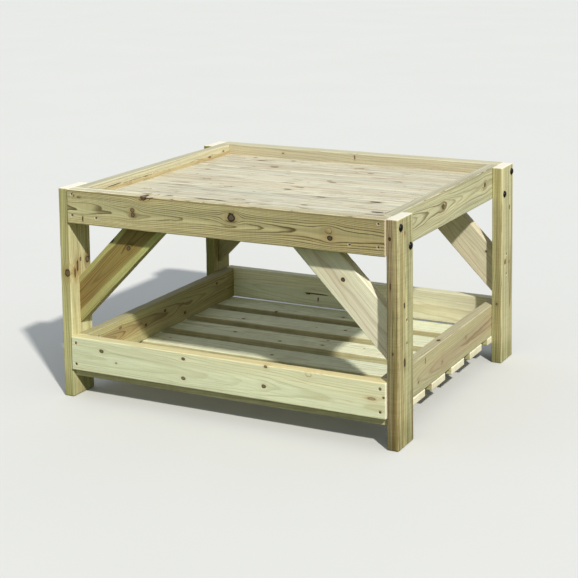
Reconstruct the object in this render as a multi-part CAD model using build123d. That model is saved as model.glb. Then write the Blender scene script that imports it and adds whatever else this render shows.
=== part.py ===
"""Children's sand and water table in planed softwood, millimetres.

Frame: +X to the right along the front, +Y from front to back, +Z up.
Origin: on the ground, under the centre of the table.

Four posts, thin in X and wide in Y, stand outside a rectangular top frame.  The front and
back rails run between the posts and cap the ends of the side rails.  A deck of tight boards
lies inside the frame, below the rail tops, on two cross bearers and a centre batten.  A
tray of four edge boards with slats beneath sits low between the posts, and four 45 degree
braces stiffen the posts in the long direction.
"""
from build123d import *
import os
from collections import defaultdict

# ---------------------------------------------------------------- driving dimensions
WIDTH = 1022.0           # over the outer faces of the posts
DEPTH = 848.0            # over the outer edges of the posts
HEIGHT = 590.0

BOARD_W = 95.0           # planed width of every main board
BOARD_T = 32.0           # posts, side rails, tray edge boards and braces
RAIL_T = 45.0            # front and back rails
THIN_T = 21.0            # deck boards and slats
PROUD = 6.0              # rails and tray boards stand this far outside the post edges
ARRIS = 3.0              # radius on the long edges
DECK_ARRIS = 1.5         # the same, on deck boards, bearers and batten

DECK_RECESS = 32.0       # deck top below the rail tops
DECK_BOARDS = 8
DECK_END_GAP = 1.0
BEARER_X = 382.0         # centre line of each deck bearer
BEARER_W = 45.0
BEARER_H = 38.0
BATTEN_END_GAP = 5.0

TRAY_TOP_Z = 175.0
SLATS = 6
SLAT_FIRST_Y = -366.0
SLAT_PITCH = 142.0

BRACE_FOOT_Z = 201.0     # lower corner of the brace where it meets the post
BRACE_TOP_Z = 528.0      # level cut at the upper end

# ---------------------------------------------------------------- derived positions
POST_OUT_X = WIDTH / 2
POST_IN_X = POST_OUT_X - BOARD_T         # also the outer face of the side rails
SIDE_IN_X = POST_IN_X - BOARD_T          # inner face of side rails and tray side boards
SIDE_MID_X = (SIDE_IN_X + POST_IN_X) / 2
POST_OUT_Y = DEPTH / 2
POST_IN_Y = POST_OUT_Y - BOARD_W
RAIL_OUT_Y = POST_OUT_Y + PROUD
RAIL_IN_Y = RAIL_OUT_Y - RAIL_T
RAIL_MID_Y = (RAIL_IN_Y + RAIL_OUT_Y) / 2
TRAY_IN_Y = RAIL_OUT_Y - BOARD_T         # inner face of front and back tray boards

RAIL_BASE_Z = HEIGHT - BOARD_W
DECK_TOP_Z = HEIGHT - DECK_RECESS
DECK_BASE_Z = DECK_TOP_Z - THIN_T
BEARER_BASE_Z = DECK_BASE_Z - BEARER_H
TRAY_BASE_Z = TRAY_TOP_Z - BOARD_W
SLAT_BASE_Z = TRAY_BASE_Z - THIN_T

deck_pitch = 2 * RAIL_IN_Y / DECK_BOARDS
DECK_Y = [-RAIL_IN_Y + deck_pitch * (i + 0.5) for i in range(DECK_BOARDS)]
SLAT_Y = [SLAT_FIRST_Y + SLAT_PITCH * i for i in range(SLATS)]

SIDES = {"left": -1, "right": 1}         # name and sign of X
ENDS = {"front": -1, "back": 1}          # name and sign of Y
CORNERS = [(end, y_sign, side, x_sign)
           for end, y_sign in ENDS.items() for side, x_sign in SIDES.items()]

# ---------------------------------------------------------------- fixing dimensions
FIT = 0.05               # radial gap between a fixing and its hole
UP = (0, 0, 1)

SCREW_5 = dict(head_radius=5.0, shank_radius=2.5)
SCREW_4 = dict(head_radius=4.0, shank_radius=2.0)
SCREW_SINK = 0.6         # head face below the timber surface
SCREW_TIP_RADIUS = 0.4
SCREW_TIP_RATIO = 2.2    # tip length over shank radius
DRIVE_RADIUS = 1.5
DRIVE_DEPTH = 2.0
HEAD_CLEARANCE = 3.0     # hole carried on above the head face

# Screw places, mirrored to every corner
RAIL_SCREW_Z = (578.0, 519.0)
RAIL_SCREW_X = SIDE_MID_X - 1.5
BEARER_SCREW_Z = 518.0
BRACE_POST_SCREW_Z = (325.0, 265.0)
BRACE_RAIL_SCREW_X = (200.0, 268.0)
BRACE_RAIL_SCREW_Z = 512.0
TRAY_CORNER_SCREW_Z = (158.0, 98.5)
TRAY_POST_SCREW_Y = 345.0
TRAY_POST_SCREW_Z = (155.0, 120.0)
DECK_SCREW_STAGGER = 8.0                       # in X, alternating board by board
SLAT_SCREW_OFFSETS = ((-8.0, -25.0), (8.0, 25.0))   # outward, in Y

# Domed head shared by coach screws and bolts
DOME_RADIUS = 10.0
DOME_HEIGHT = 5.5
DOME_RIM = 1.2

COACH_RADIUS = 4.0       # shank of coach screws and bolts
COACH_SCREW_Z = 568.0
COACH_SHANK = 90.0       # length down to the tip
COACH_TIP = 10.0
COACH_TIP_RADIUS = 0.5
COACH_TIP_CLEARANCE = 0.5

BOLT_Y = 347.0
BOLT_Z = 510.0
BOLT_LENGTH = 76.0
BOLT_NECK = 8.0          # side of the square neck
BOLT_NECK_DEPTH = 5.0
BOLT_HOLE_RADIUS = 4.5
BOLT_HOLE_LENGTH = 70.0
NECK_HOLE = 9.1
NECK_HOLE_DEPTH = 5.1

WASHER_RADIUS = 12.0
WASHER_BORE_RADIUS = 4.2
WASHER_T = 2.0
NUT_FLATS = 13.0         # across flats
NUT_HEIGHT = 6.8
NUT_BORE_RADIUS = 4.05

HANG = (Align.CENTER, Align.CENTER, Align.MAX)     # top face on z = 0
STAND = (Align.CENTER, Align.CENTER, Align.MIN)    # bottom face on z = 0

timbers = {}                    # node name -> shape before the holes are cut
fixings = defaultdict(list)     # node name -> placed fixings
holes = defaultdict(list)       # timber name -> cutting shapes


# ---------------------------------------------------------------- timber
def symmetric(half):
    return -half, half


def centred(centre, width):
    return centre - width / 2, centre + width / 2


def mirrored(low, high, sign):
    """The span low to high, mirrored to the side given by sign."""
    return (low, high) if sign > 0 else (-high, -low)


def board(x_span, y_span, z_span, along, radius=ARRIS):
    """A board with its four long edges rounded; along is the grain axis."""
    spans = (x_span, y_span, z_span)
    centre = [(low + high) / 2 for low, high in spans]
    size = [high - low for low, high in spans]
    block = Pos(*centre) * Box(*size)
    return fillet(block.edges().filter_by(along), radius)


def build_posts():
    for end, y_sign, side, x_sign in CORNERS:
        timbers[f"post_{end}_{side}"] = board(
            mirrored(POST_IN_X, POST_OUT_X, x_sign),
            mirrored(POST_IN_Y, POST_OUT_Y, y_sign), (0, HEIGHT), Axis.Z)


def build_ring(prefix, thickness, base_z, top_z):
    """Four boards on edge; the front and back ones cap the ends of the side ones."""
    inner_y = RAIL_OUT_Y - thickness
    z_span = (base_z, top_z)
    for end, y_sign in ENDS.items():
        timbers[f"{prefix}_{end}"] = board(
            symmetric(POST_IN_X), mirrored(inner_y, RAIL_OUT_Y, y_sign), z_span, Axis.X)
    for side, x_sign in SIDES.items():
        timbers[f"{prefix}_{side}"] = board(
            mirrored(SIDE_IN_X, POST_IN_X, x_sign), symmetric(inner_y), z_span, Axis.Y)


def build_deck():
    for i, y in enumerate(DECK_Y):
        timbers[f"deck_board_{i + 1}"] = board(
            symmetric(SIDE_IN_X - DECK_END_GAP), centred(y, BOARD_W),
            (DECK_BASE_Z, DECK_TOP_Z), Axis.X, DECK_ARRIS)
    z_span = (BEARER_BASE_Z, DECK_BASE_Z)
    for side, x_sign in SIDES.items():
        timbers[f"deck_bearer_{side}"] = board(
            centred(x_sign * BEARER_X, BEARER_W), symmetric(RAIL_IN_Y),
            z_span, Axis.Y, DECK_ARRIS)
    timbers["deck_batten_centre"] = board(
        centred(0, BEARER_W), symmetric(RAIL_IN_Y - BATTEN_END_GAP),
        z_span, Axis.Y, DECK_ARRIS)


def build_braces():
    """45 degree braces, cut upright at the post and level at the top."""
    cut_length = BOARD_W * 2 ** 0.5
    tip_x = POST_IN_X - (BRACE_TOP_Z - BRACE_FOOT_Z)
    outline = [(POST_IN_X, BRACE_FOOT_Z), (POST_IN_X, BRACE_FOOT_Z + cut_length),
               (tip_x + cut_length, BRACE_TOP_Z), (tip_x, BRACE_TOP_Z)]
    for end, y_sign, side, x_sign in CORNERS:
        points = [(x_sign * x, z) for x, z in outline]
        face = make_face(Plane.XZ * Polyline(*points, close=True))
        brace = extrude(face, amount=BOARD_T, dir=(0, 1, 0))
        start_y = mirrored(RAIL_IN_Y - BOARD_T, RAIL_IN_Y, y_sign)[0]
        brace = Pos(0, start_y, 0) * brace
        long_edges = [edge for edge in brace.edges() if edge.length > 200]
        timbers[f"brace_{end}_{side}"] = fillet(long_edges, ARRIS)


def build_slats():
    for i, y in enumerate(SLAT_Y):
        timbers[f"tray_slat_{i + 1}"] = board(
            symmetric(POST_IN_X), centred(y, BOARD_W), (SLAT_BASE_Z, TRAY_BASE_Z), Axis.X)


# ---------------------------------------------------------------- countersunk screws
def place(point, direction, shape):
    """Put a shape that points down -Z at point, pointing along direction."""
    return Plane(origin=point, z_dir=tuple(-d for d in direction)).location * shape


def screw_form(length, head_radius, shank_radius, gap=0.0):
    """Head, shank and tip, head face at z = 0, grown by gap."""
    head = head_radius - shank_radius
    tip = SCREW_TIP_RATIO * shank_radius
    radius = shank_radius + gap
    form = Cone(radius, head_radius + gap, head, align=HANG)
    form += Pos(0, 0, -head) * Cylinder(radius, length - head - tip + gap, align=HANG)
    form += Pos(0, 0, -(length - tip + gap)) * Cone(
        SCREW_TIP_RADIUS + gap, radius, tip + gap, align=HANG)
    return form


def add_screw(group, point, direction, length, size, through):
    """Sink a screw at a surface point and cut its hole in the timbers it goes through."""
    origin = tuple(p + d * SCREW_SINK for p, d in zip(point, direction))
    screw = screw_form(length, **size) - Cylinder(DRIVE_RADIUS, DRIVE_DEPTH, align=HANG)
    fixings[group].append(place(origin, direction, screw))
    hole = screw_form(length, **size, gap=FIT)
    hole += Cylinder(size["head_radius"] + FIT, HEAD_CLEARANCE, align=STAND)
    hole = place(origin, direction, hole)
    for name in through:
        holes[name].append(hole)


def add_corner_screws(end, y_sign, side, x_sign):
    post, brace = f"post_{end}_{side}", f"brace_{end}_{side}"
    rail, side_rail = f"rail_{end}", f"rail_{side}"
    tray_end, tray_side = f"tray_board_{end}", f"tray_board_{side}"
    rail_y = y_sign * RAIL_OUT_Y
    inward_y = (0, -y_sign, 0)

    # rail into the end grain of the side rail
    for z in RAIL_SCREW_Z:
        add_screw("rail_screws", (x_sign * RAIL_SCREW_X, rail_y, z), inward_y,
                  80, SCREW_5, (rail, side_rail))
    # rail into the end of the deck bearer
    add_screw("bearer_screws", (x_sign * BEARER_X, rail_y, BEARER_SCREW_Z), inward_y,
              80, SCREW_5, (rail, f"deck_bearer_{side}"))
    # post into the end of the brace
    for z in BRACE_POST_SCREW_Z:
        point = (x_sign * POST_OUT_X, y_sign * (RAIL_IN_Y - BOARD_T / 2), z)
        add_screw("brace_post_screws", point, (-x_sign, 0, 0), 80, SCREW_5, (post, brace))
    # brace into the inner face of the rail
    for x in BRACE_RAIL_SCREW_X:
        point = (x_sign * x, y_sign * (RAIL_IN_Y - BOARD_T), BRACE_RAIL_SCREW_Z)
        add_screw("brace_rail_screws", point, (0, y_sign, 0), 60, SCREW_5, (brace, rail))
    # front or back tray board into the end grain of the side board
    for z in TRAY_CORNER_SCREW_Z:
        add_screw("tray_corner_screws", (x_sign * SIDE_MID_X, rail_y, z), inward_y,
                  70, SCREW_5, (tray_end, tray_side))
    # tray side board into the post, from inside
    for z in TRAY_POST_SCREW_Z:
        point = (x_sign * SIDE_IN_X, y_sign * TRAY_POST_SCREW_Y, z)
        add_screw("tray_post_screws", point, (x_sign, 0, 0), 55, SCREW_5, (tray_side, post))


def add_deck_screws():
    """Driven up from below so that no head shows on the deck."""
    supports = ((-BEARER_X, "deck_bearer_left"), (0.0, "deck_batten_centre"),
                (BEARER_X, "deck_bearer_right"))
    for i, y in enumerate(DECK_Y):
        stagger = DECK_SCREW_STAGGER if i % 2 else -DECK_SCREW_STAGGER
        for x, support in supports:
            add_screw("deck_screws", (x + stagger, y, BEARER_BASE_Z), UP,
                      50, SCREW_4, (support, f"deck_board_{i + 1}"))


def add_slat_screws():
    """Driven up through the slats into the tray side boards."""
    for i, y in enumerate(SLAT_Y):
        for side, x_sign in SIDES.items():
            for out_x, along_y in SLAT_SCREW_OFFSETS:
                point = (x_sign * (SIDE_MID_X + out_x), y + along_y, SLAT_BASE_Z)
                add_screw("slat_screws", point, UP, 40, SCREW_4,
                          (f"tray_slat_{i + 1}", f"tray_board_{side}"))


# ---------------------------------------------------------------- coach screws and bolts
def dome():
    """Domed head standing on z = 0, with a short cylindrical rim."""
    rise = DOME_HEIGHT - DOME_RIM
    ball_radius = (DOME_RADIUS ** 2 + rise ** 2) / (2 * rise)
    rim = Cylinder(DOME_RADIUS, DOME_RIM, align=STAND)
    ball = Pos(0, 0, DOME_HEIGHT - ball_radius) * Sphere(ball_radius)
    cap = ball & (Pos(0, 0, DOME_RIM) * Cylinder(DOME_RADIUS, DOME_HEIGHT, align=STAND))
    return rim + cap


def add_coach_screw(end, y_sign, side, x_sign):
    """Through the post into the end grain of the front or back rail."""
    point = (x_sign * POST_OUT_X, y_sign * RAIL_MID_Y, COACH_SCREW_Z)
    inward = (-x_sign, 0, 0)
    tip_start = Pos(0, 0, -COACH_SHANK)
    screw = dome() + Cylinder(COACH_RADIUS, COACH_SHANK, align=HANG)
    screw += tip_start * Cone(COACH_TIP_RADIUS, COACH_RADIUS, COACH_TIP, align=HANG)
    fixings["coach_screws"].append(place(point, inward, screw))

    hole = Cylinder(COACH_RADIUS + FIT, COACH_SHANK, align=HANG)
    hole += tip_start * Cone(COACH_TIP_RADIUS + FIT, COACH_RADIUS + FIT,
                             COACH_TIP + COACH_TIP_CLEARANCE, align=HANG)
    hole = place(point, inward, hole)
    for name in (f"post_{end}_{side}", f"rail_{end}"):
        holes[name].append(hole)


def add_coach_bolt(end, y_sign, side, x_sign):
    """Through post and side rail, with washer and nut on the rail's inner face."""
    point = (x_sign * POST_OUT_X, y_sign * BOLT_Y, BOLT_Z)
    inward = (-x_sign, 0, 0)
    grip = POST_OUT_X - SIDE_IN_X
    bolt = dome() + Cylinder(COACH_RADIUS, BOLT_LENGTH, align=HANG)
    bolt += Box(BOLT_NECK, BOLT_NECK, BOLT_NECK_DEPTH, align=HANG)
    fixings["coach_bolts"].append(place(point, inward, bolt))

    hole = Cylinder(BOLT_HOLE_RADIUS, BOLT_HOLE_LENGTH, align=HANG)
    hole += Box(NECK_HOLE, NECK_HOLE, NECK_HOLE_DEPTH, align=HANG)
    hole = place(point, inward, hole)
    for name in (f"post_{end}_{side}", f"rail_{side}"):
        holes[name].append(hole)

    washer = Cylinder(WASHER_RADIUS, WASHER_T, align=HANG)
    washer -= Cylinder(WASHER_BORE_RADIUS, WASHER_T, align=HANG)
    fixings["bolt_washers"].append(place(point, inward, Pos(0, 0, -grip) * washer))

    nut = extrude(RegularPolygon(NUT_FLATS / 2, 6, major_radius=False), amount=-NUT_HEIGHT)
    nut -= Cylinder(NUT_BORE_RADIUS, NUT_HEIGHT, align=HANG)
    fixings["bolt_nuts"].append(place(point, inward, Pos(0, 0, -grip - WASHER_T) * nut))


# ---------------------------------------------------------------- build, cut and write
def write_node(name, shapes):
    solids = [solid for shape in shapes for solid in shape.solids()]
    node = solids[0] if len(solids) == 1 else Compound(children=solids)
    node.label = name
    export_step(node, f"parts/{name}.step")


build_posts()
build_ring("rail", RAIL_T, RAIL_BASE_Z, HEIGHT)
build_deck()
build_braces()
build_ring("tray_board", BOARD_T, TRAY_BASE_Z, TRAY_TOP_Z)
build_slats()

for corner in CORNERS:
    add_corner_screws(*corner)
add_deck_screws()
add_slat_screws()
for corner in CORNERS:
    add_coach_screw(*corner)
    add_coach_bolt(*corner)

os.makedirs("parts", exist_ok=True)
for name, shapes in fixings.items():
    write_node(name, shapes)
for name, timber in timbers.items():
    for hole in holes[name]:
        timber = timber - hole
    write_node(name, [timber])
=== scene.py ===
"""Sand and water table in pressure treated softwood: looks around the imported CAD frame."""
import math
import random

import bmesh
import bpy
import numpy as np
from mathutils import Matrix, Vector


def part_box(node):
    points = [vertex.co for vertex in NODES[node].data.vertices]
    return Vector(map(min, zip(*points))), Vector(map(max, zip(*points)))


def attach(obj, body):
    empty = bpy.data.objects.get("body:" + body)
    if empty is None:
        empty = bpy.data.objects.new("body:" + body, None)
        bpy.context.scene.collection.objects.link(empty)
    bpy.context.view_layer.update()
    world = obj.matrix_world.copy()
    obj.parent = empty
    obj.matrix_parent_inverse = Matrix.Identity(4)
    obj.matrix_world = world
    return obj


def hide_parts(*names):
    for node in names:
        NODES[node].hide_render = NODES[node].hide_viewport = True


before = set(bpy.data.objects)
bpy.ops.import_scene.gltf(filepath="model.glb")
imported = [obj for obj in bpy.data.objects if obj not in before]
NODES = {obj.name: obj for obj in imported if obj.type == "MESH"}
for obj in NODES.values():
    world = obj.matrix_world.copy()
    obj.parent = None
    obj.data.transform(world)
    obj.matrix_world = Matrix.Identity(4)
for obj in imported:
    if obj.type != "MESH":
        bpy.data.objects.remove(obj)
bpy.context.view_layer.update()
MM = 0.001


# ----------------------------------------------------------------- node help
class G:
    """A thin layer over a shader node tree."""

    def __init__(self, tree):
        self.t = tree

    def put(self, sock, v):
        if isinstance(v, bpy.types.NodeSocket):
            self.t.links.new(v, sock)
        elif v is not None:
            if hasattr(sock.default_value, "__len__"):
                n = len(sock.default_value)
                if not hasattr(v, "__len__"):
                    v = (v,) * 3
                v = tuple(v)[:n]
                v = v + (1.0,) * (n - len(v))
            sock.default_value = v

    def node(self, kind, **props):
        n = self.t.nodes.new(kind)
        for k, v in props.items():
            setattr(n, k, v)
        return n

    def m(self, op, a, b=None, c=None, clamp=False):
        n = self.node("ShaderNodeMath", operation=op, use_clamp=clamp)
        for s, v in zip(n.inputs, (a, b, c)):
            self.put(s, v)
        return n.outputs[0]

    def v(self, op, a, b=None, scale=None):
        n = self.node("ShaderNodeVectorMath", operation=op)
        self.put(n.inputs[0], a)
        if b is not None:
            self.put(n.inputs[1], b)
        if scale is not None:
            self.put(n.inputs["Scale"], scale)
        return n.outputs["Value"] if op in ("LENGTH", "DOT_PRODUCT", "DISTANCE") else n.outputs[0]

    def xyz(self, x, y, z):
        n = self.node("ShaderNodeCombineXYZ")
        for s, v in zip(n.inputs, (x, y, z)):
            self.put(s, v)
        return n.outputs[0]

    def split(self, v):
        n = self.node("ShaderNodeSeparateXYZ")
        self.put(n.inputs[0], v)
        return n.outputs[0], n.outputs[1], n.outputs[2]

    def noise(self, vec, scale=1.0, detail=2.0, rough=0.5, colour=False, dist=0.0):
        n = self.node("ShaderNodeTexNoise", noise_dimensions="3D")
        self.put(n.inputs["Vector"], vec)
        self.put(n.inputs["Scale"], scale)
        self.put(n.inputs["Detail"], detail)
        self.put(n.inputs["Roughness"], rough)
        self.put(n.inputs["Distortion"], dist)
        return n.outputs[1] if colour else n.outputs[0]

    def noise1(self, w, scale=1.0, detail=2.0):
        n = self.node("ShaderNodeTexNoise", noise_dimensions="1D")
        self.put(n.inputs["W"], w)
        self.put(n.inputs["Scale"], scale)
        self.put(n.inputs["Detail"], detail)
        return n.outputs[0]

    def white(self, w):
        n = self.node("ShaderNodeTexWhiteNoise", noise_dimensions="1D")
        self.put(n.inputs["W"], w)
        return n.outputs["Value"]

    def step(self, x, a, b, lo=0.0, hi=1.0):
        n = self.node("ShaderNodeMapRange", interpolation_type="SMOOTHSTEP")
        for s, v in zip(n.inputs, (x, a, b, lo, hi)):
            self.put(s, v)
        return n.outputs[0]

    def mix(self, f, a, b, blend="MIX"):
        n = self.node("ShaderNodeMix", data_type="RGBA", blend_type=blend, clamp_factor=True)
        self.put(n.inputs[0], f)
        self.put(n.inputs[6], a)
        self.put(n.inputs[7], b)
        return n.outputs[2]

    def mul(self, a, b):
        return self.mix(1.0, a, b, "MULTIPLY")

    def grey(self, x):
        return self.xyz(x, x, x)

    def attr(self, name):
        return self.node("ShaderNodeAttribute", attribute_type="GEOMETRY", attribute_name=name)


def new_group(name, inputs, outputs):
    t = bpy.data.node_groups.new(name, "ShaderNodeTree")
    kinds = {"f": "NodeSocketFloat", "v": "NodeSocketVector", "c": "NodeSocketColor"}
    for n, k in inputs:
        t.interface.new_socket(name=n, in_out="INPUT", socket_type=kinds[k])
    for n, k in outputs:
        t.interface.new_socket(name=n, in_out="OUTPUT", socket_type=kinds[k])
    gi, go = t.nodes.new("NodeGroupInput"), t.nodes.new("NodeGroupOutput")
    return t, G(t), gi.outputs, go.inputs


# ---------------------------------------------------- softwood: growth rings
# P is (along the grain, two cross-grain distances from the pith), in metres
def timber_group():
    t, g, i, o = new_group(
        "softwood",
        [("P", "v"), ("Seed", "f"), ("Ring", "f"), ("Early", "c"), ("Late", "c"), ("Heart", "c"),
         ("RHeart", "f"), ("Contrast", "f"), ("Wobble", "f"), ("Dash", "f"), ("DashCol", "c"), ("Saw", "f"), ("Lw", "f"), ("Var", "f")],
        [("Color", "c"), ("Height", "f"), ("Late", "f"), ("Fibre", "f")],
    )
    P, seed = i["P"], i["Seed"]
    Pn = g.v("ADD", P, g.v("SCALE", (7.31, 3.17, 5.73), scale=seed))
    w1 = g.v("SUBTRACT", g.noise(g.v("MULTIPLY", Pn, (1.7, 8, 8)), detail=1.5, colour=True), (0.5, 0.5, 0.5))
    w1 = g.v("SCALE", g.v("MULTIPLY", w1, (0, 1, 1)), scale=g.m("MULTIPLY", i["Wobble"], 2.0))
    w2 = g.v("SUBTRACT", g.noise(g.v("MULTIPLY", Pn, (13, 55, 55)), detail=2, colour=True), (0.5, 0.5, 0.5))
    w2 = g.v("SCALE", g.v("MULTIPLY", w2, (0, 1, 1)), scale=0.0022)
    Q = g.v("ADD", g.v("ADD", P, w1), w2)
    r = g.v("LENGTH", g.v("MULTIPLY", Q, (0, 1, 1)))
    nr = g.noise1(g.m("ADD", g.m("MULTIPLY", r, 42.0), g.m("MULTIPLY", seed, 11.3)), detail=2)
    r2 = g.m("ADD", r, g.m("MULTIPLY", g.m("SUBTRACT", nr, 0.5), 0.009))
    ph = g.m("DIVIDE", r2, i["Ring"])
    fr = g.m("FRACT", ph)
    wn = g.white(g.m("ADD", g.m("FLOOR", ph), g.m("MULTIPLY", seed, 17.0)))
    late = g.m("MULTIPLY", g.step(fr, i["Lw"], 0.90), g.step(fr, 0.91, 1.0, 1.0, 0.0))
    late = g.m("MULTIPLY", late, g.m("ADD", 0.35, g.m("MULTIPLY", wn, 0.65)))
    latec = g.m("MULTIPLY", late, i["Contrast"], clamp=True)
    col = g.mix(latec, i["Early"], i["Late"])
    # heartwood round the pith is warmer
    hn = g.noise(g.v("MULTIPLY", Pn, (3, 30, 30)), detail=2)
    rh = g.m("ADD", r2, g.m("MULTIPLY", g.m("SUBTRACT", hn, 0.5), 0.010))
    hm = g.step(g.m("SUBTRACT", rh, i["RHeart"]), -0.004, 0.005, 0.92, 0.0)
    colh = g.mix(latec, i["Heart"], g.mul(i["Heart"], (0.50, 0.40, 0.30)))
    col = g.mix(hm, col, colh)
    # fibres, streaks and slow colour drift
    f1 = g.noise(g.v("MULTIPLY", Pn, (9, 850, 850)), detail=2, rough=0.6)
    f2 = g.noise(g.v("MULTIPLY", Pn, (2.4, 105, 105)), detail=3, rough=0.6)
    f3 = g.noise(g.v("MULTIPLY", Pn, (1.3, 10, 10)), detail=2)
    f4 = g.noise(g.v("ADD", g.v("MULTIPLY", Pn, (1.0, 17, 17)), (5.1, 9.2, 2.7)), detail=2)
    val = g.m("ADD", 1.0, g.m("MULTIPLY", g.m("SUBTRACT", f1, 0.5), 0.34))
    streak = g.m("ADD", g.m("MULTIPLY", g.m("SUBTRACT", f2, 0.5), 0.44), g.m("MULTIPLY", g.m("SUBTRACT", f3, 0.5), 0.26))
    val = g.m("ADD", val, g.m("MULTIPLY", streak, i["Var"]))
    saw = g.noise(g.v("MULTIPLY", P, (430, 16, 16)), detail=1)
    sawn = g.m("MULTIPLY", g.m("SUBTRACT", saw, 0.5), i["Saw"])
    val = g.m("MAXIMUM", g.m("ADD", val, g.m("MULTIPLY", sawn, 0.9)), 0.2)
    col = g.mul(col, g.grey(val))
    # brown weathering streaks, only on boards with a lot of variation
    f5 = g.noise(g.v("ADD", g.v("MULTIPLY", Pn, (1.1, 75, 75)), (2.3, 7.7, 4.1)), detail=3)
    wx = g.m("MULTIPLY", g.m("SUBTRACT", i["Var"], 1.0), 0.28, clamp=True)
    col = g.mix(g.m("MULTIPLY", g.step(f5, 0.47, 0.62), wx), col, g.mul(col, (0.62, 0.52, 0.42)))
    col = g.mul(col, g.mix(g.step(f4, 0.36, 0.64), (1.020, 0.990, 0.945), (0.985, 1.005, 0.995)))
    # short resin dashes and pin flecks along the grain
    d = g.noise(g.v("MULTIPLY", Pn, (10, 330, 330)), detail=1.5)
    d = g.m("MULTIPLY", g.step(d, 0.615, 0.70), g.step(f2, 0.36, 0.58))
    dd = g.noise(g.v("ADD", g.v("MULTIPLY", Pn, (3.6, 560, 560)), (9.1, 3.3, 6.2)), detail=1)
    dd = g.m("MULTIPLY", g.step(dd, 0.60, 0.69), g.step(f3, 0.42, 0.62))
    d = g.m("MAXIMUM", d, g.m("MULTIPLY", dd, 0.75))
    col = g.mix(g.m("MULTIPLY", d, i["Dash"], clamp=True), col, i["DashCol"])
    t.links.new(col, o["Color"])
    h = g.m("ADD", g.m("MULTIPLY", late, -0.45), g.m("MULTIPLY", f1, 0.55))
    h = g.m("ADD", h, g.m("ADD", g.m("MULTIPLY", f2, 0.5), g.m("MULTIPLY", sawn, 1.6)))
    t.links.new(g.m("SUBTRACT", h, g.m("MULTIPLY", d, 0.5)), o["Height"])
    t.links.new(late, o["Late"])
    t.links.new(f1, o["Fibre"])
    return t


# --------------------------------------------------------------- one branch
def knot_group():
    t, g, i, o = new_group(
        "branch_knot",
        [("P", "v"), ("C", "v"), ("Mask", "v"), ("R", "f"), ("Stretch", "f"), ("Dark", "f"), ("Swirl", "f")],
        [("Offset", "v"), ("Body", "f"), ("Halo", "f"), ("Color", "c"), ("Rim", "f")],
    )
    nz = g.v("SUBTRACT", g.noise(g.v("SCALE", i["P"], scale=1.0), scale=95, detail=2, colour=True), (0.5, 0.5, 0.5))
    d = g.v("MULTIPLY", g.v("SUBTRACT", i["P"], i["C"]), i["Mask"])
    dn = g.v("ADD", d, g.v("MULTIPLY", g.v("SCALE", nz, scale=g.m("MULTIPLY", i["R"], 0.55)), i["Mask"]))
    x, y, z = g.split(dn)
    dist = g.v("LENGTH", g.xyz(g.m("DIVIDE", x, i["Stretch"]), y, z))
    x0, y0, z0 = g.split(d)
    d0 = g.v("LENGTH", g.xyz(g.m("DIVIDE", x0, g.m("MULTIPLY", i["Stretch"], 1.7)), y0, z0))
    r2 = g.m("MULTIPLY", i["R"], i["R"])
    rr = g.m("MULTIPLY", r2, 1.35)
    k = g.m("DIVIDE", rr, g.m("MAXIMUM", g.m("MULTIPLY", d0, d0), rr))
    k = g.m("MULTIPLY", k, i["Swirl"])
    t.links.new(g.v("SCALE", g.xyz(0.0, y0, z0), scale=k), o["Offset"])
    q = g.m("DIVIDE", dist, i["R"])
    t.links.new(g.step(q, 0.86, 1.06, 1.0, 0.0), o["Body"])
    halo = g.m("POWER", 2.718, g.m("MULTIPLY", g.m("MAXIMUM", g.m("SUBTRACT", q, 1.0), 0.0), -1.15))
    t.links.new(halo, o["Halo"])
    rings = g.m("ADD", 0.5, g.m("MULTIPLY", g.m("SINE", g.m("MULTIPLY", q, 15.0)), 0.5))
    rim = g.m("MULTIPLY", g.step(q, 0.50, 0.82), g.step(q, 1.02, 1.12, 1.0, 0.0))
    shade = g.m("ADD", g.m("MULTIPLY", rings, 0.30), g.m("MULTIPLY", rim, 0.95), clamp=True)
    light = g.mix(i["Dark"], (0.36, 0.28, 0.155), (0.135, 0.105, 0.065))
    dark = g.mix(i["Dark"], (0.20, 0.140, 0.070), (0.012, 0.009, 0.007))
    lop = g.step(g.m("DIVIDE", g.m("ADD", y0, z0), i["R"]), -0.7, 0.7, 0.15, 1.0)
    cres = g.m("MULTIPLY", g.m("MULTIPLY", g.step(q, 0.66, 0.88), g.step(q, 0.98, 1.20, 1.0, 0.0)), lop)
    t.links.new(cres, o["Rim"])
    t.links.new(g.mix(shade, light, dark), o["Color"])
    return t


TIMBER, KNOT = timber_group(), knot_group()


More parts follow.
